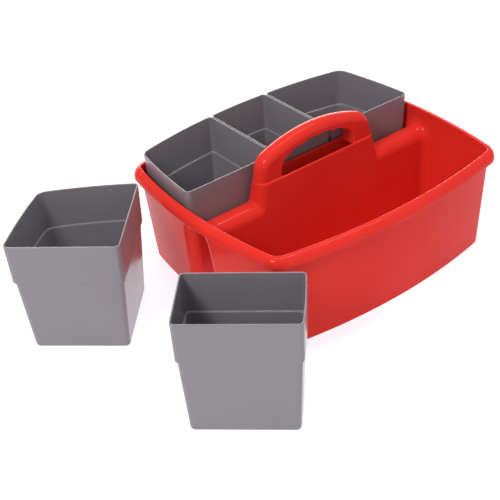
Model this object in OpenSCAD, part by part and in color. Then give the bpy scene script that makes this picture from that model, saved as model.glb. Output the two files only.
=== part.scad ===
// Art supply box: an open tub split by a hollow centre divider that carries an arched
// grip, with three cups standing in the back half and two more cups beside it.
// X runs along the grip, -Y is the front, +Z is up; the tub stands centred on the origin.

/* [Tub] */
// Half-length of the rim at its corners, mm
rim_a = 154.8; // [150:0.2:158]
// Half-depth of the rim at its corners, mm
rim_b = 125.9; // [122:0.1:129]
// How far each long side of the rim bows out, mm
rim_bow = 16.6; // [14:0.2:18]
// How far each short side of the rim bows out, mm
rim_end_bow = 12.6; // [11:0.2:14]
// Rim corner radius, mm
rim_r = 18.8; // [17:0.2:22]
// Height of the rim's crest, mm
rim_z = 115.2; // [112:0.2:118]
// Height of the skirt round the rim, mm
rim_tall = 10.6; // [9:0.2:12]
// Overhang of the rim past the wall, mm
rim_out = 8; // [7:0.2:8.6]
// How far the base corners are in from the rim corners along X, mm
base_in_x = 15.6; // [13:0.2:17]
// How far the base corners are in from the rim corners along Y, mm
base_in_y = 10.7; // [9:0.1:11.5]
// Tub floor and wall thickness, mm
wall = 2.6; // [2.2:0.1:2.8]
// Wall thickness under the rim, mm
wall_top = 2.0; // [1.8:0.1:2.2]

/* [Divider] */
// Half-width of the divider at the table, mm
div_low = 20; // [18:0.5:20]
// Half-width of the divider at the panel tops, mm
div_high = 11.4; // [10.8:0.1:12]
// Height of the panel tops under the grip, mm
panel_z = 117; // [114:0.5:119]
// Height of the ridge on each side of the grip, mm
ridge_z = 95; // [91:0.5:97]
// Fillet where the divider meets the short walls, mm
div_r = 10; // [7:0.5:12]
// Half-length of the raised middle at the panel tops, mm
tower_top = 79.3; // [78:0.1:82]
// Half-length of the raised middle at the ridge, mm
tower_low = 83.6; // [83:0.1:88]

/* [Grip] */
// Height of the grip's crown, mm
crown_z = 159.2; // [157:0.2:161]
// Radius of the crown, mm
crown_r = 170; // [160:2:180]
// Height of the grip's underside at the middle, mm
under_z = 146; // [144.6:0.2:147]
// Radius of the underside, mm
under_r = 110; // [104:2:120]
// Half-length of the finger opening, mm
finger_x = 50; // [46:0.5:52]
// Depth of the grip from front to back, mm
grip_deep = 19.6; // [19.2:0.2:20.4]

/* [Cups] */
// Height of a cup, mm
cup_tall = 127.6; // [122:0.2:130]
// Height of a cup's shoulder, mm
cup_step_z = 83; // [78:1:86]
// How far the shoulder steps in, mm
cup_step = 1.7; // [1.4:0.1:2.4]
// Cup wall thickness, mm
cup_wall = 1.6; // [1.5:0.1:1.8]
// Half-width of the centre cup, mm
cup_half = 38.2; // [36:0.2:39]
// Gap between neighbouring cups, mm
cup_gap = 0.8; // [0.6:0.1:1.6]
// Distance from the middle plane to the cups' front walls, mm
cup_front = 14.4; // [14.2:0.1:15]

/* [Loose cups] */
// Turn of the loose corner cup, degrees
loose_a_turn = -42.6; // [-45:0.2:-38]
// Turn of the loose centre cup, degrees
loose_b_turn = -132.3; // [-140:0.1:-125]

/* [Hidden] */
$fn = 32;
corner_steps = 6;
eps = 0.01;
seam = 0.02;
wall_z = rim_z - rim_tall;
wall_a = rim_a - rim_out;
wall_b = rim_b - rim_out;
base_a = rim_a - base_in_x;
base_b = rim_b - base_in_y;
base_r = 13;
wall_r = rim_r - rim_out;
base_bow = 14.8;
base_end_bow = 12;
side_slope = (wall_a + rim_end_bow - base_a - base_end_bow) / wall_z;
div_slope = (div_low - div_high) / panel_z;
ridge_r = div_half(ridge_z) + 0.3;
bottom_r = 3;
cup_y = 64.2;
loose_a = [-263.9, 60.8];
loose_b = [-225.1, -150.4];
corner_x = -98;
grip_r = 9.4;
under_edge = 1.5;
foot_slope = 0.185;
red = [0.80, 0.10, 0.08];
grey = [0.52, 0.50, 0.52];

function mix(a, b, t) = a + (b - a) * t;
function unit(v) = v / norm(v);
function side_normal(p, q) = unit([q[1] - p[1], p[0] - q[0]]);
function div_half(z) = div_low - div_slope * z;

// A point on the bowed side from p to q, whose middle stands s outside the straight line.
function side_point(p, q, s, t) = mix(p, q, t) + side_normal(p, q) * 4 * s * t * (1 - t);
function side_way(p, q, s, t) = unit(q - p + side_normal(p, q) * 4 * s * (1 - 2 * t));

function bezier(a, b, c, d, t) =
    a * pow(1 - t, 3) + b * 3 * t * pow(1 - t, 2) + c * 3 * t * t * (1 - t) + d * pow(t, 3);

// The rounded corner between two sides, then the side that follows it.
function corner_and_side(p, s, r, steps, i) =
    let (
        o = p[(i + 3) % 4],
        c = p[i],
        q = p[(i + 1) % 4],
        e = p[(i + 2) % 4],
        way_in = side_way(o, c, s[(i + 3) % 4], 1),
        way_out = side_way(c, q, s[i], 0),
        turn = acos(way_in * way_out),
        after = side_way(c, q, s[i], 1) * side_way(q, e, s[(i + 1) % 4], 0),
        cut = r[i] * tan(turn / 2),
        cut_after = r[(i + 1) % 4] * tan(acos(after) / 2),
        t_in = 1 - cut / norm(c - o),
        t_out = cut / norm(q - c),
        t_end = 1 - cut_after / norm(q - c),
        a = side_point(o, c, s[(i + 3) % 4], t_in),
        d = side_point(c, q, s[i], t_out),
        h = 4 / 3 * tan(turn / 4) * r[i],
        b = a + side_way(o, c, s[(i + 3) % 4], t_in) * h,
        g = d - side_way(c, q, s[i], t_out) * h
    )
    concat(
        [for (k = [0 : corner_steps]) bezier(a, b, g, d, k / corner_steps)],
        [for (k = [1 : 1 : steps[i] - 1]) side_point(c, q, s[i], mix(t_out, t_end, k / steps[i]))]
    );

function outline(p, s, r, steps) = [for (i = [0 : 3]) each corner_and_side(p, s, r, steps, i)];

// Four corners with each side moved in by its own distance.
function inset_four(p, d) = [
    for (i = [0 : 3])
        let (
            m = side_normal(p[(i + 3) % 4], p[i]),
            n = side_normal(p[i], p[(i + 1) % 4]),
            k = m[0] * n[1] - m[1] * n[0],
            u = -d[(i + 3) % 4],
            v = -d[i]
        )
        p[i] + [(u * n[1] - v * m[1]) / k, (m[0] * v - n[0] * u) / k]
];

function lift(points, z) = [for (q = points) [q[0], q[1], z]];

// A closed skin over a stack of outlines that all have the same number of points.
module skin(rings) {
    n = len(rings[0]);
    last = len(rings) - 1;
    faces = concat(
        [[for (i = [0 : n - 1]) n - 1 - i]],
        [for (k = [0 : last - 1], i = [0 : n - 1]) [k * n + i, k * n + (i + 1) % n, (k + 1) * n + (i + 1) % n]],
        [for (k = [0 : last - 1], i = [0 : n - 1]) [k * n + i, (k + 1) * n + (i + 1) % n, (k + 1) * n + i]],
        [[for (i = [0 : n - 1]) last * n + i]]
    );
    polyhedron(points = [for (r = rings) each r], faces = [for (f = faces) [for (j = [len(f) - 1 : -1 : 0]) f[j]]]);
}

// The tub wall's outline at height z, moved in by d.
function tub_ring(z, d) =
    let (
        t = min(z / wall_z, 1),
        a = mix(base_a, wall_a, t) - d,
        b = mix(base_b, wall_b, t) - d,
        bow = mix(base_bow, rim_bow, t),
        end_bow = mix(base_end_bow, rim_end_bow, t),
        r = max(mix(base_r, wall_r, t) - d, 3)
    )
    lift(outline([[-a, -b], [a, -b], [a, b], [-a, b]], [bow, end_bow, bow, end_bow], [r, r, r, r], [12, 10, 12, 10]), z);

// The inside of one half of the tub at height z: flat beside the divider, bowed elsewhere.
function half_ring(z, d, r_div) =
    let (
        t = min(z / wall_z, 1),
        a = mix(base_a, wall_a, t) - d,
        b = mix(base_b, wall_b, t) - d,
        bow = mix(base_bow, rim_bow, t),
        end_bow = mix(base_end_bow, rim_end_bow, t),
        h = div_half(z),
        reach = a + end_bow * (1 - pow(h / b, 2)),
        end_sag = end_bow * pow((b - h) / (2 * b), 2),
        r = max(mix(base_r, wall_r, t) - d, 3)
    )
    lift(
        outline([[-a, -b], [a, -b], [reach, -h], [-reach, -h]], [bow, end_sag, 0, end_sag], [r, r, r_div, r_div], [12, 5, 1, 5]),
        z
    );

module tub_block() {
    skin([
        tub_ring(0, bottom_r),
        tub_ring(0.9, 0.9),
        tub_ring(bottom_r, 0),
        tub_ring(rim_z - 3.4, 0),
        tub_ring(rim_z - 4.2, 4.8 - rim_out),
        tub_ring(rim_z - 6.8, 2.7 - rim_out),
        tub_ring(wall_z, 2.2 - rim_out),
        tub_ring(wall_z, 0.4 - rim_out),
        tub_ring(wall_z + 1, -rim_out),
        tub_ring(rim_z - 6.6, 0.4 - rim_out),
        tub_ring(rim_z - 3.9, 1.6 - rim_out),
        tub_ring(rim_z - 1.8, 3.6 - rim_out),
        tub_ring(rim_z - 0.4, 6.2 - rim_out),
        tub_ring(rim_z, 8.2 - rim_out)
    ]);
}

module half_space() {
    skin([
        half_ring(wall, wall + 3, div_r - 3),
        half_ring(wall + 0.9, wall + 0.9, div_r - 0.9),
        half_ring(wall + 3, wall, div_r),
        half_ring(wall_z, wall_top, div_r),
        half_ring(rim_z - 2.4, wall_top, div_r),
        half_ring(rim_z - 0.6, wall_top - 0.7, div_r),
        half_ring(rim_z + 1, wall_top - 2, div_r)
    ]);
}

// The room over the ridge, between the two short walls.
module over_ridge() {
    low = ridge_z - 10;
    intersection() {
        skin([
            tub_ring(wall + 3, wall),
            tub_ring(wall_z, wall_top),
            tub_ring(rim_z - 2.4, wall_top),
            tub_ring(rim_z - 0.6, wall_top - 0.7),
            tub_ring(rim_z + 1, wall_top - 2)
        ]);
        rotate([90, 0, 90])
        linear_extrude(height = 2 * rim_a + 40, center = true)
        polygon([[-28, low - 14], [-div_half(low), low], [div_half(low), low], [28, low - 14], [28, 140], [-28, 140]]);
    }
}

// The divider's cross-section from z = low to its round top, grown by g.
function ridge_section(low, g) =
    let (
        r = ridge_r + g,
        c = ridge_z - ridge_r,
        top = asin(div_slope)
    )
    concat(
        [[-div_half(low) - g, low], [div_half(low) + g, low]],
        [for (k = [0 : 12]) let (w = mix(top, 180 - top, k / 12)) [r * cos(w), c + r * sin(w)]]
    );

module ridge_slice(x, low, g) {
    translate([x, 0, 0])
    rotate([90, 0, 90])
    linear_extrude(height = eps)
    polygon(ridge_section(low, g));
}

// Everything that follows leans with the short wall, from reach at the table.
module lean(reach) {
    for (m = [0, 1])
    mirror([m, 0, 0])
    multmatrix([[1, 0, side_slope, reach], [0, 1, 0, 0], [0, 0, 1, 0], [0, 0, 0, 1]])
    children();
}

// How far a round fillet of radius r has spread at distance e from the wall.
function spread(r, e) = r - sqrt(r * r - pow(r - e, 2));

// The ridge spreads in a fillet where it runs into each short wall.
module ridge() {
    low = ridge_z - 36;
    reach = wall_a + rim_end_bow - div_r - 2;
    steps = [div_r, div_r * 0.65, div_r * 0.35, div_r * 0.13, div_r * 0.015];
    hull() {
        ridge_slice(-reach, low, -seam);
        ridge_slice(reach, low, -seam);
    }
    lean(base_a + base_end_bow - wall_top)
    for (i = [0 : 3])
    hull() {
        ridge_slice(-steps[i], low, spread(div_r, steps[i]) - seam);
        ridge_slice(-steps[i + 1], low, spread(div_r, steps[i + 1]) - seam);
    }
}

function tower_ring(z, d) =
    let (
        x = mix(tower_low, tower_top, (z - ridge_z) / (panel_z - ridge_z)) - d,
        y = div_half(z) - d,
        r = 10 - d
    )
    lift(outline([[-x, -y], [x, -y], [x, y], [-x, y]], [0, 0, 0, 0], [r, r, r, r], [1, 1, 1, 1]), z);

module tower() {
    skin([
        tower_ring(ridge_z - 32, 0),
        tower_ring(panel_z - 1, 0),
        tower_ring(panel_z, 1)
    ]);
}

// The grip's foot leans in along a straight line.
function foot_x(z) = tower_top - (z - panel_z) * foot_slope;
function foot_z(x) = panel_z + (tower_top - x) / foot_slope;

// Where the foot's line meets the crown's tangent at e.
function corner_at(e) =
    let (m = e[0] / crown_r) (e[1] + m * e[0] - panel_z - tower_top / foot_slope) / (m - 1 / foot_slope);

// Half of the grip's outer edge, from its foot to just before the crown.
function grip_outer(low) =
    let (
        e = [66, crown_z - 66 * 66 / (2 * crown_r)],
        foot = [foot_x(low), low],
        c = [corner_at(e), foot_z(corner_at(e))],
        s = [foot_x(c[1] - 8.5), c[1] - 8.5]
    )
    concat(
        [foot],
        [for (k = [0 : 6]) let (t = k / 6) s * pow(1 - t, 2) + c * 2 * t * (1 - t) + e * t * t],
        [for (x = [56 : -8 : 8]) [x, crown_z - x * x / (2 * crown_r)]]
    );

function grip_inner(low) =
    let (
        corner_z = under_z - finger_x * finger_x / (2 * under_r),
        s = [finger_x, corner_z - 8],
        c = [finger_x, corner_z],
        e = [finger_x - 8, under_z - pow(finger_x - 8, 2) / (2 * under_r)]
    )
    concat(
        [[finger_x, low]],
        [for (k = [0 : 5]) let (t = k / 5) s * pow(1 - t, 2) + c * 2 * t * (1 - t) + e * t * t],
        [for (x = [34 : -8 : 8]) [x, under_z - x * x / (2 * under_r)]]
    );

function flip(points) = [for (i = [len(points) - 1 : -1 : 0]) [-points[i][0], points[i][1]]];
function backwards(points) = [for (i = [len(points) - 1 : -1 : 0]) points[i]];

// Each point of a closed outline moved in by its own distance, square to its neighbours.
function shrink(p, d) = [
    for (i = [0 : len(p) - 1])
        p[i] - side_normal(p[(i + len(p) - 1) % len(p)], p[(i + 1) % len(p)]) * d[i]
];

// How far a round edge of radius r is in at depth e from the side face.
function edge_in(r, e) = e < r ? r - sqrt(r * r - pow(r - e, 2)) : 0;

// The grip's outline at depth e from its side face: round on top, a small edge underneath.
function grip_profile(e) =
    let (
        low = panel_z - 5,
        outer = grip_outer(low),
        inner = grip_inner(low),
        whole = concat(
            outer,
            [[0, crown_z]],
            flip(outer),
            backwards(flip(inner)),
            [[0, under_z]],
            backwards(inner)
        ),
        top_count = 2 * len(outer) + 1
    )
    shrink(whole, [for (i = [0 : len(whole) - 1]) edge_in(i < top_count ? grip_r : under_edge, e)]);

function stand(points, y) = [for (q = points) [q[0], y, q[1]]];

module grip() {
    half = grip_deep / 2;
    depths = [0, 0.25, 0.8, 2, 4, 6.4, grip_r];
    skin(concat(
        [for (e = depths) stand(grip_profile(e), half - e)],
        [for (e = backwards(depths)) stand(grip_profile(e), e - half)]
    ));
}

// The room inside the divider, open underneath and at both short sides.
module channel() {
    reach = base_a + base_end_bow;
    r = div_r + wall;
    steps = [r, r * 0.42, r * 0.14, 0.1];
    hull() {
        ridge_slice(-reach - 9, -1, -wall);
        ridge_slice(reach + 9, -1, -wall);
    }
    lean(reach)
    for (i = [0 : 2])
    hull() {
        ridge_slice(-steps[i], -1, spread(r, steps[i]) - wall);
        ridge_slice(-steps[i + 1], -1, spread(r, steps[i + 1]) - wall);
    }
    skin([
        tower_ring(ridge_z - 42, wall),
        tower_ring(panel_z - wall, wall)
    ]);
    hull() {
        translate([-finger_x, -div_half(100) + wall, 100])
        cube([2 * finger_x, 2 * div_half(100) - 2 * wall, eps]);
        translate([-finger_x, -div_high + wall, panel_z + 1])
        cube([2 * finger_x, 2 * div_high - 2 * wall, eps]);
    }
}

module caddy() {
    color(red)
    difference() {
        union() {
            difference() {
                tub_block();
                half_space();
                mirror([0, 1, 0]) half_space();
                over_ridge();
            }
            intersection() {
                tub_block();
                ridge();
            }
            tower();
            grip();
        }
        channel();
    }
}

// A cup's outline at height z of the cup, moved in by d. band says how far each side tapers in
// from the rim to the shoulder, and low how far from the shoulder to the foot.
function cup_ring(p, s, r, band, low, z, d) =
    let (
        upper = z > cup_step_z,
        t = upper ? (cup_tall - z) / (cup_tall - cup_step_z) : 1 - z / cup_step_z,
        in = upper ? band * t : [for (i = [0 : 3]) cup_step + band[i] + low[i] * t],
        shape = inset_four(p, [for (w = in) w + d])
    )
    lift(outline(shape, s, [for (w = r) max(w - d, 1.5)], [1, 4, 4, 1]), z);

module cup(p, s, r, band, low) {
    foot = 2.4;
    top = cup_tall;
    skin([
        cup_ring(p, s, r, band, low, 0, foot),
        cup_ring(p, s, r, band, low, 0.3, foot * 0.62),
        cup_ring(p, s, r, band, low, 1.2, foot * 0.29),
        cup_ring(p, s, r, band, low, foot, 0),
        cup_ring(p, s, r, band, low, cup_step_z, 0),
        cup_ring(p, s, r, band, low, cup_step_z + 1.4, 0),
        cup_ring(p, s, r, band, low, top - 0.5, 0),
        cup_ring(p, s, r, band, low, top, cup_wall * 0.28),
        cup_ring(p, s, r, band, low, top, cup_wall * 0.72),
        cup_ring(p, s, r, band, low, top - 0.5, cup_wall),
        cup_ring(p, s, r, band, low, cup_step_z + 2, cup_wall),
        cup_ring(p, s, r, band, low, cup_step_z - 0.1, cup_wall),
        cup_ring(p, s, r, band, low, 2 + foot - 0.6, cup_wall),
        cup_ring(p, s, r, band, low, 2.5, cup_wall + 0.6),
        cup_ring(p, s, r, band, low, 2, cup_wall + foot - 0.6)
    ]);
}

module centre_cup() {
    back = wall_b + rim_bow * (1 - pow(cup_half / wall_a, 2)) - wall_top - 0.6;
    x = cup_half;
    cup(
        [[-x, cup_front], [x, cup_front], [x, back], [-x, back]],
        [0, 0, 1.2, 0],
        [5, 5, 5, 5],
        [0.6, 0.5, 1.2, 0.5],
        [4.4, 2.3, 4.6, 2.3]
    );
}

module corner_cup() {
    x = cup_half + cup_gap;
    back = wall_b + rim_bow * (1 - pow(x / wall_a, 2)) - wall_top - 0.6;
    far = wall_a + rim_end_bow - wall_top - 3.4;
    cup(
        [[x, cup_front], [far, cup_front], [141.6, 115], [x, back]],
        [0, 1.8, 2.4, 0],
        [5, 6, 13, 5],
        [0.6, 1.7, 1.2, 0.5],
        [4.4, 5.6, 4.8, 4.7]
    );
}

module cup_back_left() {
    color(grey) translate([0, 0, wall]) mirror([1, 0, 0]) corner_cup();
}

module cup_back_centre() {
    color(grey) translate([0, 0, wall]) centre_cup();
}

module cup_back_right() {
    color(grey) translate([0, 0, wall]) corner_cup();
}

module cup_loose_corner() {
    color(grey)
    translate(loose_a)
    rotate(loose_a_turn)
    translate([-corner_x, -cup_y])
    mirror([1, 0, 0])
    corner_cup();
}

module cup_loose_centre() {
    color(grey)
    translate(loose_b)
    rotate(loose_b_turn)
    translate([0, -cup_y])
    centre_cup();
}

caddy();
cup_back_left();
cup_back_centre();
cup_back_right();
cup_loose_corner();
cup_loose_centre();
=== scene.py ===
"""Art supply box: the looks of the red tub and its five grey cups, in metres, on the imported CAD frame.

The tub is drawn as a field, the signed distance to a blended solid, which is meshed once for the quarter
x >= 0, y >= 0 and mirrored. The cups are lofted through rings. Sizes in those two sections are millimetres,
the same driving dimensions as the CAD's, and each mesh is scaled to metres at the end.
"""

import math

import bpy
import numpy as np
from mathutils import Matrix, Vector


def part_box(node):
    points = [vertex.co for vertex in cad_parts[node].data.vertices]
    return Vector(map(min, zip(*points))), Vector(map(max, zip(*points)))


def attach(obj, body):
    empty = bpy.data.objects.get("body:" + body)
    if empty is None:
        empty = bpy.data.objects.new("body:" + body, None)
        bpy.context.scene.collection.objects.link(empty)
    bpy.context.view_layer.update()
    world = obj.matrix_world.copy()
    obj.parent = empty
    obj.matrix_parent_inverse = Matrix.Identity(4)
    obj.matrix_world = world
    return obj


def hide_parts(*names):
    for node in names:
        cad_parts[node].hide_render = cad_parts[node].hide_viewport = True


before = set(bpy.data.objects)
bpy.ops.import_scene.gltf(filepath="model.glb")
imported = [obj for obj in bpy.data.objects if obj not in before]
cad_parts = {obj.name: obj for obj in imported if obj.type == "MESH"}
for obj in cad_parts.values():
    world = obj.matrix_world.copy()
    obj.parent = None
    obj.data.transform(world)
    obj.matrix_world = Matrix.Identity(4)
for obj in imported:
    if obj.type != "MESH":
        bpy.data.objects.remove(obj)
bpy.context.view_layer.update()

MM = 0.001

# ---------------------------------------------------------------- tub, millimetres

# The rim: how far it stands out, its crest, the top of the wall below its skirt, and the skirt's thickness.
RIM_OUT = 8.0
RIM_Z = 115.2
WALL_Z = RIM_Z - 10.6
SKIRT = 2.2
SKIRT_LIFT = 1.0
CREST = 1.2

# The wall's outer face: half length, half width, the bow of the two kinds of side, and the corner radius.
WALL_AT_RIM = dict(a=154.8 - RIM_OUT, b=125.9 - RIM_OUT, bow=16.6, end_bow=12.6, r=18.8 - RIM_OUT)
WALL_AT_BASE = dict(a=154.8 - 15.6, b=125.9 - 10.7, bow=14.8, end_bow=12.0, r=13.0)
WALL = 2.6
WALL_TOP = 2.0
WALL_THINS_FROM = 5.6
FLOOR_FILLET = 4.0
BASE_ROUND = 2.5
ROOM_EDGE = 1.2

# The hollow divider: half thickness at the floor and at the panel top, the low ridge and the raised middle.
DIV_LOW, DIV_HIGH = 20.0, 11.4
DIV_FILLET = 10.0
RIDGE_Z = 95.0
RIDGE_ROUND = 12.5
PANEL_Z = 117.0
PANEL_EDGE = 1.25
TOWER_TOP, TOWER_LOW = 79.3, 83.6
TOWER_ROUND = 10.0
HOLLOW_ROUND = 10.0
HOLLOW_EDGE = 2.0
SLOT_LOW, SLOT_HIGH = 105, 123
MOUTH_EDGE = 1.2
MOUTH_START, MOUTH_END = 128, 146

# The grip: arcs of its crown and underside, the finger opening, and its rounded bar.
CROWN_Z, CROWN_R = 159.2, 170.0
CROWN_ROUND = 10.0
UNDER_Z, UNDER_R = 146.0, 110.0
OPENING_ROUND = 8.0
FINGER_X = 50.0
FINGER_PITCH = 20.5
FINGER_DEPTH = 1.5
GRIP_DEEP = 19.6
GRIP_ROUND = 9.4
GRIP_EDGE = 1.6
GRIP_ROOT = 5
GRIP_FILLET = 1.2
FOOT_SLOPE = 0.185

TUB_REACH = (168, 143, 163)
TUB_STEP = 1.0
TRIANGLES_PER_QUARTER = 46000


def mix(a, b, t):
    """The value that lies t of the way from a to b."""
    return a + (b - a) * t


def ramp(lo, hi, v):
    """0 below lo, 1 above hi, smooth between."""
    t = np.clip((v - lo) / (hi - lo), 0, 1)
    return t * t * (3 - 2 * t)


def joined(a, b, r):
    """Union of two fields, with a round fillet of radius r between them."""
    return np.maximum(np.minimum(a, b), r) - np.hypot(np.maximum(r - a, 0), np.maximum(r - b, 0))


def cut(a, b, r):
    """Intersection of two fields, with its edge rounded to radius r."""
    return -joined(-a, -b, r)


def bowed_side(x, y, z):
    """Distance outside the tub wall's bowed outline at height z."""
    t = np.clip(z / WALL_Z, 0, 1)
    a, b, bow, end_bow, r = (mix(WALL_AT_BASE[key], WALL_AT_RIM[key], t) for key in WALL_AT_RIM)
    r_long = (a * a + bow * bow) / (2 * bow)
    r_end = (b * b + end_bow * end_bow) / (2 * end_bow)
    long_side = np.hypot(x, y - (b + bow) + r_long) - r_long
    short_side = np.hypot(x - (a + end_bow) + r_end, y) - r_end
    return cut(long_side, short_side, 0.64 * r)


def div_half(z):
    """Half the divider's thickness at height z."""
    return DIV_LOW - (DIV_LOW - DIV_HIGH) * z / PANEL_Z


def tower_half(z):
    """Half the length of the divider's raised middle at height z."""
    return TOWER_TOP + (TOWER_LOW - TOWER_TOP) * (PANEL_Z - z) / (PANEL_Z - RIDGE_Z)


def tower(x, y, z, inset=0.0, top=PANEL_Z, edge=PANEL_EDGE):
    """The divider's raised middle."""
    sides = cut(y - div_half(z) + inset, x - tower_half(z) + inset, TOWER_ROUND - inset)
    return cut(sides, z - top, edge)


def grip(x, y, z):
    """The grip's bar, its two feet and the scallops over the finger opening."""
    crown = np.hypot(x, z - CROWN_Z + CROWN_R) - CROWN_R
    foot = (x - TOWER_TOP + (z - PANEL_Z) * FOOT_SLOPE) * math.cos(math.atan(FOOT_SLOPE))
    outline = cut(crown, foot, CROWN_ROUND)
    scallop = np.abs(np.sin(math.pi * x / FINGER_PITCH)) * (x < 2 * FINGER_PITCH)
    wave = np.sqrt(scallop**2 + 0.02) - 0.5
    under = np.hypot(x, z - UNDER_Z + UNDER_R) - UNDER_R - FINGER_DEPTH * wave
    opening = cut(under, x - FINGER_X, OPENING_ROUND)
    body = cut(cut(outline, y - GRIP_DEEP / 2, GRIP_ROUND), -opening, GRIP_EDGE)
    return np.maximum(body, PANEL_Z - GRIP_ROOT - z)


def skirt(side, z):
    """The rim's convex skirt: a quarter of an ellipse from the crest down to its outer, lower edge."""
    wide, tall = RIM_OUT + CREST, RIM_Z - WALL_Z - SKIRT_LIFT
    u = np.maximum(side + CREST, 0) / wide
    w = np.maximum(z - WALL_Z - SKIRT_LIFT, 0) / tall
    length = np.hypot(u, w)
    slope = np.hypot(u / wide, w / tall) / np.maximum(length, 1e-6)
    return np.where(length > 1e-3, (length - 1) / np.maximum(slope, 1 / wide), -tall)


def tub_field(x, y, z):
    """Signed distance, roughly, to the tub's surface: negative in the plastic. For x >= 0 and y >= 0."""
    x, y = np.abs(x), np.abs(y)
    side = bowed_side(x, y, z)
    skin = skirt(side, z)
    lip = cut(cut(skin, -skin - SKIRT, 0.6), WALL_Z - z, 0.8)
    outer = joined(np.maximum(side, z - RIM_Z + CREST), lip, 1.0)

    wall = mix(WALL, WALL_TOP, np.clip((z - WALL_THINS_FROM) / (WALL_Z - WALL_THINS_FROM), 0, 1))
    ridge = cut(y - div_half(z), z - RIDGE_Z, RIDGE_ROUND)
    raised = tower(x, y, z)
    divider = np.maximum(joined(ridge, raised, 2.5), y - div_half(z))
    room = cut(cut(side + wall, -divider, DIV_FILLET), WALL - z, FLOOR_FILLET)

    under_ridge = cut(y - div_half(z) + WALL, z - RIDGE_Z + WALL, HOLLOW_ROUND)
    under_tower = tower(x, y, z, inset=WALL, top=PANEL_Z - WALL, edge=HOLLOW_EDGE)
    slot_sides = np.maximum(x - FINGER_X, y - div_half(z) + WALL)
    slot = np.maximum(slot_sides, np.maximum(SLOT_LOW - z, z - SLOT_HIGH))
    hollow = np.minimum(np.minimum(under_ridge, under_tower), slot)

    mouth = mix(MOUTH_EDGE, DIV_FILLET + WALL, ramp(MOUTH_START, MOUTH_END, x))
    block = cut(cut(outer, -hollow, mouth), -z, BASE_ROUND)
    shell = cut(block, -room, ROOM_EDGE * ramp(111, 113, z))
    top = joined(np.maximum(raised, 70 - z), grip(x, y, z), GRIP_FILLET)
    return np.minimum(shell, cut(top, -hollow, PANEL_EDGE))


# ---------------------------------------------------------------- meshing a field

CORNERS = np.array([(i, j, k) for i in (0, 1) for j in (0, 1) for k in (0, 1)])
EDGES = [(m, n) for m in range(8) for n in range(m + 1, 8) if np.abs(CORNERS[m] - CORNERS[n]).sum() == 1]


def sample(field, axes):
    """The field's values on the grid, worked out a few layers at a time."""
    values = np.empty([len(a) for a in axes], np.float32)
    x, y = axes[0][:, None, None], axes[1][None, :, None]
    for k in range(0, len(axes[2]), 8):
        values[:, :, k:k + 8] = field(x, y, axes[2][None, None, k:k + 8])
    return values


def surface_net(field, axes):
    """Points and quads of the field's zero surface: one point in each cell that the surface crosses."""
    step = axes[0][1] - axes[0][0]
    values = sample(field, axes)
    inside = values < 0
    cells = tuple(n - 1 for n in values.shape)
    count = np.zeros(cells, np.int8)
    for i, j, k in CORNERS:
        count += inside[i:i + cells[0], j:j + cells[1], k:k + cells[2]]
    active = np.argwhere((count > 0) & (count < 8))
    numbers = np.full(cells, -1, np.int32)
    numbers[tuple(active.T)] = np.arange(len(active))

    corner_values = np.stack([values[tuple((active + c).T)] for c in CORNERS], 1)
    total = np.zeros((len(active), 3))
    crossings = np.zeros((len(active), 1))
    for m, n in EDGES:
        u, v = corner_values[:, m], corner_values[:, n]
        crossed = (u < 0) != (v < 0)
        t = np.where(crossed, u / np.where(crossed, u - v, 1), 0)[:, None]
        total += crossed[:, None] * (CORNERS[m] + (CORNERS[n] - CORNERS[m]) * t)
        crossings += crossed[:, None]
    start = np.array([a[0] for a in axes])
    points = start + (active + total / crossings) * step

    faces = []
    for axis in range(3):
        u, v = (axis + 1) % 3, (axis + 2) % 3
        here = np.take(inside, range(inside.shape[axis] - 1), axis)
        there = np.take(inside, range(1, inside.shape[axis]), axis)
        for leaving in (True, False):
            edge = np.argwhere(here & ~there if leaving else ~here & there)
            edge = edge[(edge[:, u] > 0) & (edge[:, v] > 0)]
            edge = edge[(edge[:, u] < cells[u]) & (edge[:, v] < cells[v])]
            back_u, back_v = np.eye(3, dtype=int)[u], np.eye(3, dtype=int)[v]
            ring = [edge - back_u - back_v, edge - back_v, edge, edge - back_u]
            quad = np.stack([numbers[tuple(r.T)] for r in ring], 1)
            faces.append(quad if leaving else quad[:, ::-1])
    return points, np.concatenate(faces)


def slope_of(field, points, reach=0.05):
    """The field's gradient at each point."""
    slope = np.empty_like(points)
    for axis in range(3):
        ahead, behind = points.copy(), points.copy()
        ahead[:, axis] += reach
        behind[:, axis] -= reach
        slope[:, axis] = (field(*ahead.T) - field(*behind.T)) / (2 * reach)
    return slope


def settle(field, points, rounds=4, most=0.35):
    """Moves each point along the gradient until it lies on the field's zero surface."""
    for _ in range(rounds):
        slope = slope_of(field, points)
        move = slope * (field(*points.T) / np.maximum((slope**2).sum(1), 0.2))[:, None]
        length = np.linalg.norm(move, axis=1, keepdims=True)
        points = points - move * np.minimum(1, most / np.maximum(length, 1e-9))
    return points


def new_mesh(name, points, faces):
    """A smooth-shaded mesh from arrays of points and faces."""
    mesh = bpy.data.meshes.new(name)
    mesh.from_pydata(points.tolist(), [], faces.tolist())
    mesh.polygons.foreach_set("use_smooth", np.ones(len(mesh.polygons), bool))
    mesh.update()
    return mesh


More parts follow.
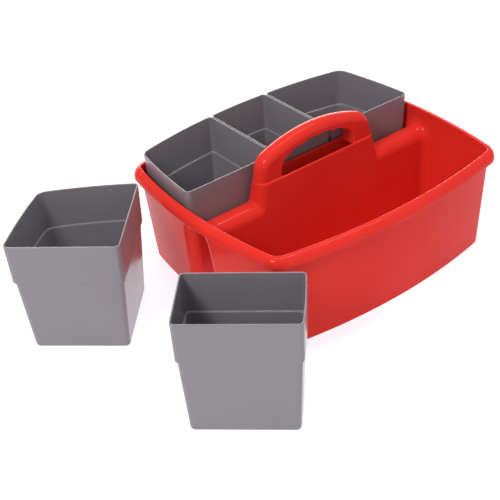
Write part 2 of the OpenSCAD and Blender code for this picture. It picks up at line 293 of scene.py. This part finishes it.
def decimated(points, faces, triangles):
    """The same surface with about that many triangles."""
    mesh = new_mesh("dense", points, faces)
    thing = bpy.data.objects.new("dense", mesh)
    bpy.context.scene.collection.objects.link(thing)
    modifier = thing.modifiers.new("decimate", "DECIMATE")
    modifier.ratio = triangles / (2 * len(faces))
    evaluated = thing.evaluated_get(bpy.context.evaluated_depsgraph_get())
    reduced = evaluated.to_mesh()
    reduced.calc_loop_triangles()
    kept_points = np.empty(len(reduced.vertices) * 3, np.float32)
    reduced.vertices.foreach_get("co", kept_points)
    kept_faces = np.empty(len(reduced.loop_triangles) * 3, np.int32)
    reduced.loop_triangles.foreach_get("vertices", kept_faces)
    evaluated.to_mesh_clear()
    bpy.data.objects.remove(thing)
    bpy.data.meshes.remove(mesh)
    return kept_points.reshape(-1, 3).astype(float), kept_faces.reshape(-1, 3)


def on_border(faces, count):
    """Which points lie on an open edge."""
    edges = np.sort(np.concatenate([faces[:, [0, 1]], faces[:, [1, 2]], faces[:, [2, 0]]]), axis=1)
    pairs, uses = np.unique(edges, axis=0, return_counts=True)
    border = np.zeros(count, bool)
    border[pairs[uses == 1].ravel()] = True
    return border


def four_quarters(points, faces):
    """The quarter and its three mirror images, joined along the two planes.

    A triangle that loses a corner where points meet is left out, because Blender can't work out its normals.
    """
    all_points, all_faces = [], []
    for n, (sign_x, sign_y) in enumerate([(1, 1), (-1, 1), (-1, -1), (1, -1)]):
        all_points.append(points * (sign_x, sign_y, 1))
        turned = faces if sign_x * sign_y > 0 else faces[:, ::-1]
        all_faces.append(turned + n * len(points))
    rounded = np.round(np.concatenate(all_points), 4)
    joined_points, place = np.unique(rounded, axis=0, return_inverse=True)
    corners = place.ravel()[np.concatenate(all_faces)]
    collapsed = (corners == np.roll(corners, 1, axis=1)).any(axis=1)
    return joined_points, corners[~collapsed]


def meshed_quarter(field, reach, step, triangles):
    """A symmetric field meshed as one quarter: the first cells straddle the two mirror planes."""
    below_floor = -1.3
    starts = (-step / 2, -step / 2, below_floor)
    axes = [np.arange(start, end + step, step) for start, end in zip(starts, reach)]
    points, faces = surface_net(field, axes)
    points[points[:, 0] < step / 2, 0] = 0
    points[points[:, 1] < step / 2, 1] = 0
    points, faces = decimated(points, faces, triangles)
    border = on_border(faces, len(points))
    for axis in (0, 1):
        points[border & (points[:, axis] < step * 0.75), axis] = 0
    points = settle(field, points)
    return points, faces


def add_piece(name, points, faces, normals, material, body):
    """A finished mesh in millimetres becomes a piece that rides on a CAD body."""
    mesh = new_mesh(name, points * MM, faces)
    mesh.normals_split_custom_set_from_vertices(normals.tolist())
    mesh.materials.append(material)
    piece = bpy.data.objects.new(name, mesh)
    bpy.context.scene.collection.objects.link(piece)
    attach(piece, body)
    return piece


def add_tub(material):
    """The tub, which takes the place of the CAD's caddy node."""
    points, faces = meshed_quarter(tub_field, TUB_REACH, TUB_STEP, TRIANGLES_PER_QUARTER)
    points, faces = four_quarters(points, faces)
    normals = slope_of(tub_field, points)
    normals /= np.linalg.norm(normals, axis=1, keepdims=True)
    tub = add_piece("tub_shell", points, faces, normals, material, "tub")
    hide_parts("caddy")
    return tub


# ---------------------------------------------------------------- cups, millimetres

CUP_TALL = 127.6
CUP_STEP_Z = 83.0
CUP_STEP = 1.7
CUP_WALL = 1.6
CUP_FOOT = 2.4
CUP_FLOOR = 2.0
CUP_HALF = 38.2
CUP_GAP = 0.8
CUP_FRONT = 14.4
CORNER_STEPS = 10
SIDE_STEPS = 14

# For each side or corner in turn, from the front one: the side's bow, the corner's radius, how far the side
# leans in over the band above the shoulder, and how far it leans in from the shoulder to the foot.
CENTRE_CUP = {
    "sag": (0, 0, 1.2, 0),
    "rounds": (5, 5, 5, 5),
    "band": (0.6, 0.5, 1.2, 0.5),
    "low": (4.4, 2.3, 4.6, 2.3),
}
CORNER_CUP = {
    "sag": (0, 1.8, 2.4, 0),
    "rounds": (5, 6, 13, 5),
    "band": (0.6, 1.7, 1.2, 0.5),
    "low": (4.4, 5.6, 4.8, 4.7),
}
CORNER_CUP_BACK = (141.6, 115)
CORNER_CUP_PLAY = 3.4
BACK_PLAY = 0.6


def side_normal(p, q):
    """The outward normal of the straight line from p to q."""
    way = (q - p) / np.linalg.norm(q - p)
    return np.array([way[1], -way[0]])


def side_point(p, q, sag, t):
    """A point on the bowed side from p to q, whose middle stands sag outside the straight line."""
    return p + (q - p) * t + side_normal(p, q) * 4 * sag * t * (1 - t)


def side_way(p, q, sag, t):
    """The direction of the bowed side at t."""
    way = q - p + side_normal(p, q) * 4 * sag * (1 - 2 * t)
    return way / np.linalg.norm(way)


def rounded_outline(p, sag, r):
    """Four bowed sides with rounded corners, always with the same number of points.

    Each corner is a cubic curve from a, on the side that comes in, to d, on the side that goes out.
    """
    points = []
    for i in range(4):
        before, corner, after, beyond = (p[(i + k) % 4] for k in (3, 0, 1, 2))
        sag_in, sag_out, sag_next = sag[i - 1], sag[i], sag[(i + 1) % 4]
        length_in, length_out = np.linalg.norm(corner - before), np.linalg.norm(after - corner)
        turn = math.acos(side_way(before, corner, sag_in, 1) @ side_way(corner, after, sag_out, 0))
        turn_next = math.acos(side_way(corner, after, sag_out, 1) @ side_way(after, beyond, sag_next, 0))
        t_in = 1 - r[i] * math.tan(turn / 2) / length_in
        t_out = r[i] * math.tan(turn / 2) / length_out
        t_end = 1 - r[(i + 1) % 4] * math.tan(turn_next / 2) / length_out
        handle = 4 / 3 * math.tan(turn / 4) * r[i]
        a = side_point(before, corner, sag_in, t_in)
        b = a + side_way(before, corner, sag_in, t_in) * handle
        d = side_point(corner, after, sag_out, t_out)
        c = d - side_way(corner, after, sag_out, t_out) * handle
        for k in range(CORNER_STEPS + 1):
            t = k / CORNER_STEPS
            points.append(a * (1 - t)**3 + b * 3 * t * (1 - t)**2 + c * 3 * t * t * (1 - t) + d * t**3)
        for k in range(1, SIDE_STEPS):
            points.append(side_point(corner, after, sag_out, mix(t_out, t_end, k / SIDE_STEPS)))
    return np.array(points)


def inset_corners(p, d):
    """Four corners with each side moved in by its own distance."""
    moved = []
    for i in range(4):
        normal_in, normal_out = side_normal(p[i - 1], p[i]), side_normal(p[i], p[(i + 1) % 4])
        moved.append(p[i] + np.linalg.solve([normal_in, normal_out], [-d[i - 1], -d[i]]))
    return moved


def arc(z, d, radius, start, end, steps):
    """(height, inset) pairs round a quarter circle about (z, d)."""
    angles = [math.radians(mix(start, end, k / steps)) for k in range(steps + 1)]
    return [(z + radius * math.sin(w), d - radius * math.cos(w)) for w in angles]


def cup_profile():
    """The cup's wall in section, up the outside and down the inside.

    Each entry is a height, an inset from the outer face, and 0 below the shoulder or 1 above it.
    """
    lip, top, step = CUP_WALL / 2, CUP_TALL, CUP_STEP_Z
    foot = [(z, d, 0) for z, d in arc(CUP_FOOT, CUP_FOOT, CUP_FOOT, -90, 0, 7)]
    lower = [(z, 0, 0) for z in (20, 42, 64, step - 3, step - 0.8)]
    shoulder = [(step - 0.3, 0, 0.06), (step, 0, 0.18), (step + 0.25, 0, 0.4), (step + 0.5, 0, 0.65)]
    shoulder += [(step + 0.8, 0, 0.85), (step + 1.2, 0, 0.96), (step + 1.8, 0, 1)]
    upper = [(z, 0, 1) for z in (step + 5, step + 14, step + 28, top - 3, top - 1.2)]
    rim = [(z, d, 1) for z, d in arc(top - lip, lip, lip, 0, 180, 9)]
    upper_in = [(z, CUP_WALL, 1) for z in (top - 1.2, top - 4, step + 28, step + 14, step + 5)]
    ledge = [(step + 2.6, CUP_WALL, 1), (step + 2.2, CUP_WALL, 0.97), (step + 1.9, CUP_WALL, 0.85)]
    ledge += [(step + 1.7, CUP_WALL, 0.3), (step + 1.5, CUP_WALL, 0.1), (step + 1.1, CUP_WALL, 0.0)]
    lower_in = [(z, CUP_WALL, 0) for z in (step - 3, 64, 42, 20)]
    inner = CUP_FOOT - 0.6
    heel = [(z, CUP_WALL + d, 0) for z, d in arc(CUP_FLOOR + inner, inner, inner, 0, -90, 6)]
    return foot + lower + shoulder + upper + rim + upper_in + ledge + lower_in + heel


def cup_rings(corners, sag, rounds, band, low):
    """The cup's outline at each height of its section, from the four corners of its mouth."""
    rings = []
    for z, inset, above in cup_profile():
        upper = [lean * (CUP_TALL - z) / (CUP_TALL - CUP_STEP_Z) for lean in band]
        lower = [CUP_STEP + lean + taper * (1 - z / CUP_STEP_Z) for lean, taper in zip(band, low)]
        shape = inset_corners(corners, [mix(lo, up, above) + inset for lo, up in zip(lower, upper)])
        outline = rounded_outline(shape, sag, [max(radius - inset, 1.5) for radius in rounds])
        rings.append(np.column_stack([outline, np.full(len(outline), z)]))
    return rings


def lofted(rings):
    """Points and triangles of the closed skin over a stack of rings."""
    n, last = len(rings[0]), len(rings) - 1
    points = np.concatenate(rings + [[rings[0].mean(0)], [rings[-1].mean(0)]])
    faces = []
    for i in range(n):
        j = (i + 1) % n
        faces.append((last * n + n, j, i))
        faces.append((last * n + n + 1, last * n + i, last * n + j))
        for k in range(last):
            faces.append((k * n + i, k * n + j, (k + 1) * n + j))
            faces.append((k * n + i, (k + 1) * n + j, (k + 1) * n + i))
    return points, np.array(faces)


def area_normals(points, faces):
    """Each point's normal, in which the large flat faces outweigh the narrow ones of a rounded edge."""
    a, b, c = (points[faces[:, k]] for k in range(3))
    face_normals = np.cross(b - a, c - a)
    normals = np.zeros_like(points)
    for k in range(3):
        np.add.at(normals, faces[:, k], face_normals)
    return normals / np.linalg.norm(normals, axis=1, keepdims=True)


def back_edge(x):
    """How far back the cup's back wall stands at x: just clear of the tub's bowed wall."""
    bow = WALL_AT_RIM["bow"] * (1 - (x / WALL_AT_RIM["a"])**2)
    return WALL_AT_RIM["b"] + bow - WALL_TOP - BACK_PLAY


def centre_cup():
    """The rings of the middle cup of the row."""
    x, back = CUP_HALF, back_edge(CUP_HALF)
    corners = np.array([(-x, CUP_FRONT), (x, CUP_FRONT), (x, back), (-x, back)])
    return cup_rings(corners, **CENTRE_CUP)


def corner_cup():
    """The rings of the right-hand cup of the row, whose outer back corner follows the tub's."""
    x = CUP_HALF + CUP_GAP
    far = WALL_AT_RIM["a"] + WALL_AT_RIM["end_bow"] - WALL_TOP - CORNER_CUP_PLAY
    corners = np.array([(x, CUP_FRONT), (far, CUP_FRONT), CORNER_CUP_BACK, (x, back_edge(x))])
    return cup_rings(corners, **CORNER_CUP)


def placed(points, node, turn=0.0):
    """Turns the points about Z, then moves them so that their box is centred on the CAD node's box."""
    c, s = math.cos(math.radians(turn)), math.sin(math.radians(turn))
    points = points @ np.array([(c, s, 0), (-s, c, 0), (0, 0, 1)])
    lo, hi = (np.array(corner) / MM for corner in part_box(node))
    middle = (points.min(0) + points.max(0)) / 2
    move = (lo + hi) / 2 - middle
    move[2] = lo[2] - points[:, 2].min()
    return points + move


def add_cup(node, body, rings, material, mirror=False, turn=0.0):
    """A cup in the place of one of the CAD's nodes: mirror makes the left-hand one of the pair."""
    points, faces = lofted(rings)
    if mirror:
        points = points * (-1, 1, 1)
        faces = faces[:, ::-1]
    points = placed(points, node, turn)
    normals = area_normals(points, faces)
    cup = add_piece(node + "_shell", points, faces, normals, material, body)
    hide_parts(node)
    return cup


# ---------------------------------------------------------------- materials, metres

DRIFT_SCALE = 14
GLOSS_SCALE = 45
PEEL_SCALE = 70
GRAIN_SCALE = 1400


def srgb(r, g, b):
    """A colour given on the 0 to 255 scale, as linear light."""
    shares = [c / 255 for c in (r, g, b)]
    return tuple(c / 12.92 if c <= 0.04 else ((c + 0.055) / 1.055)**2.4 for c in shares) + (1,)


def plastic(name, colour, shade, roughness, specular):
    """Moulded plastic: colour that drifts slightly, uneven gloss, a faint orange peel and a fine grain."""
    material = bpy.data.materials.new(name)
    material.use_nodes = True
    nodes, links = material.node_tree.nodes, material.node_tree.links
    shader = nodes["Principled BSDF"]
    shader.inputs["IOR"].default_value = 1.5
    shader.inputs["Specular IOR Level"].default_value = specular
    where = nodes.new("ShaderNodeTexCoord").outputs["Object"]

    def noise(scale, detail, rough=0.5):
        node = nodes.new("ShaderNodeTexNoise")
        node.inputs["Scale"].default_value = scale
        node.inputs["Detail"].default_value = detail
        node.inputs["Roughness"].default_value = rough
        links.new(where, node.inputs["Vector"])
        return node.outputs["Fac"]

    def spread(value, lowest, highest, low=0.0, high=1.0):
        node = nodes.new("ShaderNodeMapRange")
        node.inputs["From Min"].default_value = lowest
        node.inputs["From Max"].default_value = highest
        node.inputs["To Min"].default_value = low
        node.inputs["To Max"].default_value = high
        links.new(value, node.inputs["Value"])
        return node.outputs["Result"]

    def bump(height, strength, distance):
        node = nodes.new("ShaderNodeBump")
        node.inputs["Strength"].default_value = strength
        node.inputs["Distance"].default_value = distance
        links.new(height, node.inputs["Height"])
        return node

    drift = nodes.new("ShaderNodeMix")
    drift.data_type = "RGBA"
    drift.inputs["A"].default_value = shade
    drift.inputs["B"].default_value = colour
    links.new(spread(noise(DRIFT_SCALE, 3), 0.3, 0.7), drift.inputs["Factor"])
    links.new(drift.outputs["Result"], shader.inputs["Base Color"])

    gloss = spread(noise(GLOSS_SCALE, 5, 0.65), 0.25, 0.75, roughness - 0.03, roughness + 0.04)
    links.new(gloss, shader.inputs["Roughness"])

    peel = bump(noise(PEEL_SCALE, 1), 0.035, 0.002)
    grain = bump(noise(GRAIN_SCALE, 2), 0.02, 0.0003)
    links.new(peel.outputs["Normal"], grain.inputs["Normal"])
    links.new(grain.outputs["Normal"], shader.inputs["Normal"])
    return material


# ---------------------------------------------------------------- stage, metres and degrees

CAMERA_AZIMUTH, CAMERA_ELEVATION, CAMERA_ROLL = -35.56, 34.62, -4.42
CAMERA_TARGET = (-0.1099, -0.0252, 0.060)
CAMERA_DISTANCE = 1.1733
CAMERA_LENS, CAMERA_SENSOR = 81.74, 36
FLOOR_RADIUS, FLOOR_STEPS, FLOOR_Z = 20.0, 96, -0.0002
LIGHT_AIM_Z = 0.08
WORLD_LIGHT = 0.51
BACKDROP_LIGHT = 7.0
BACKDROP_WAY = (0.48, 0.87, 0.08)
BACKDROP_EDGE, BACKDROP_CORE = 0.86, 0.97


def add_camera():
    """The camera, which looks at the target along the turned back axis."""
    azimuth, elevation, roll = (math.radians(v) for v in (CAMERA_AZIMUTH, CAMERA_ELEVATION, CAMERA_ROLL))
    flat = math.cos(elevation)
    back = Vector((math.sin(azimuth) * flat, -math.cos(azimuth) * flat, math.sin(elevation)))
    side = Vector((math.cos(azimuth), math.sin(azimuth), 0))
    up = back.cross(side)
    right = side * math.cos(roll) + up * math.sin(roll)
    up = up * math.cos(roll) - side * math.sin(roll)
    data = bpy.data.cameras.new("camera")
    data.lens = CAMERA_LENS
    data.sensor_width = CAMERA_SENSOR
    data.clip_end = 60
    camera = bpy.data.objects.new("camera", data)
    turn = Matrix((right, up, back)).transposed().to_4x4()
    camera.matrix_world = Matrix.Translation(Vector(CAMERA_TARGET) + back * CAMERA_DISTANCE) @ turn
    bpy.context.scene.collection.objects.link(camera)
    bpy.context.scene.camera = camera


def add_floor():
    """A pale disc just under the object, lit a little from within so that it stays white."""
    turns = [2 * math.pi * k / FLOOR_STEPS for k in range(FLOOR_STEPS)]
    circle = [(FLOOR_RADIUS * math.cos(w), FLOOR_RADIUS * math.sin(w), FLOOR_Z) for w in turns]
    mesh = bpy.data.meshes.new("floor")
    mesh.from_pydata(circle, [], [tuple(range(FLOOR_STEPS))])
    material = bpy.data.materials.new("floor")
    material.use_nodes = True
    shader = material.node_tree.nodes["Principled BSDF"]
    shader.inputs["Base Color"].default_value = (0.35, 0.35, 0.36, 1)
    shader.inputs["Roughness"].default_value = 0.9
    shader.inputs["Specular IOR Level"].default_value = 0.0
    shader.inputs["Emission Color"].default_value = (0.96, 0.95, 1.0, 1)
    shader.inputs["Emission Strength"].default_value = 0.85
    mesh.materials.append(material)
    floor = bpy.data.objects.new("floor", mesh)
    bpy.context.scene.collection.objects.link(floor)


def add_softbox(name, place, size, power, aim_x=0.0):
    """A rectangular lamp that points at the object."""
    light = bpy.data.lights.new(name, "AREA")
    light.shape = "RECTANGLE"
    light.size, light.size_y = size
    light.energy = power
    lamp = bpy.data.objects.new(name, light)
    lamp.location = place
    aim = Vector((aim_x, 0, LIGHT_AIM_Z)) - Vector(place)
    lamp.rotation_euler = aim.to_track_quat("-Z", "Y").to_euler()
    bpy.context.scene.collection.objects.link(lamp)


def add_world():
    """A white room, brightest low down behind the object, where a lit backdrop would stand."""
    world = bpy.data.worlds.new("studio")
    world.use_nodes = True
    nodes, links = world.node_tree.nodes, world.node_tree.links
    background = nodes["Background"]
    background.inputs["Color"].default_value = (1, 1, 1, 1)
    towards = nodes.new("ShaderNodeVectorMath")
    towards.operation = "DOT_PRODUCT"
    towards.inputs[1].default_value = BACKDROP_WAY
    links.new(nodes.new("ShaderNodeTexCoord").outputs["Generated"], towards.inputs[0])
    glow = nodes.new("ShaderNodeMapRange")
    glow.interpolation_type = "SMOOTHSTEP"
    glow.inputs["From Min"].default_value = BACKDROP_EDGE
    glow.inputs["From Max"].default_value = BACKDROP_CORE
    glow.inputs["To Min"].default_value = WORLD_LIGHT
    glow.inputs["To Max"].default_value = BACKDROP_LIGHT
    links.new(towards.outputs["Value"], glow.inputs["Value"])
    links.new(glow.outputs["Result"], background.inputs["Strength"])
    bpy.context.scene.world = world


# ---------------------------------------------------------------- the object

bpy.context.scene.view_settings.view_transform = "Standard"
add_camera()
add_floor()
add_world()
add_softbox("key", place=(-1.6, -0.5, 1.6), size=(0.5, 0.5), power=23)
add_softbox("top", place=(0.45, -0.12, 2.1), size=(1.7, 0.16), power=17, aim_x=0.45)

red = plastic("red_plastic", srgb(223, 51, 43), srgb(216, 46, 38), roughness=0.15, specular=0.08)
grey = plastic("grey_plastic", srgb(131, 125, 130), srgb(128, 122, 127), roughness=0.17, specular=0.5)

add_tub(red)
add_cup("cup_back_left", "left_cup", corner_cup(), grey, mirror=True)
add_cup("cup_back_centre", "centre_cup", centre_cup(), grey)
add_cup("cup_back_right", "right_cup", corner_cup(), grey)
add_cup("cup_loose_corner", "loose_corner_cup", corner_cup(), grey, mirror=True, turn=-42.6)
add_cup("cup_loose_centre", "loose_centre_cup", centre_cup(), grey, turn=-132.3)
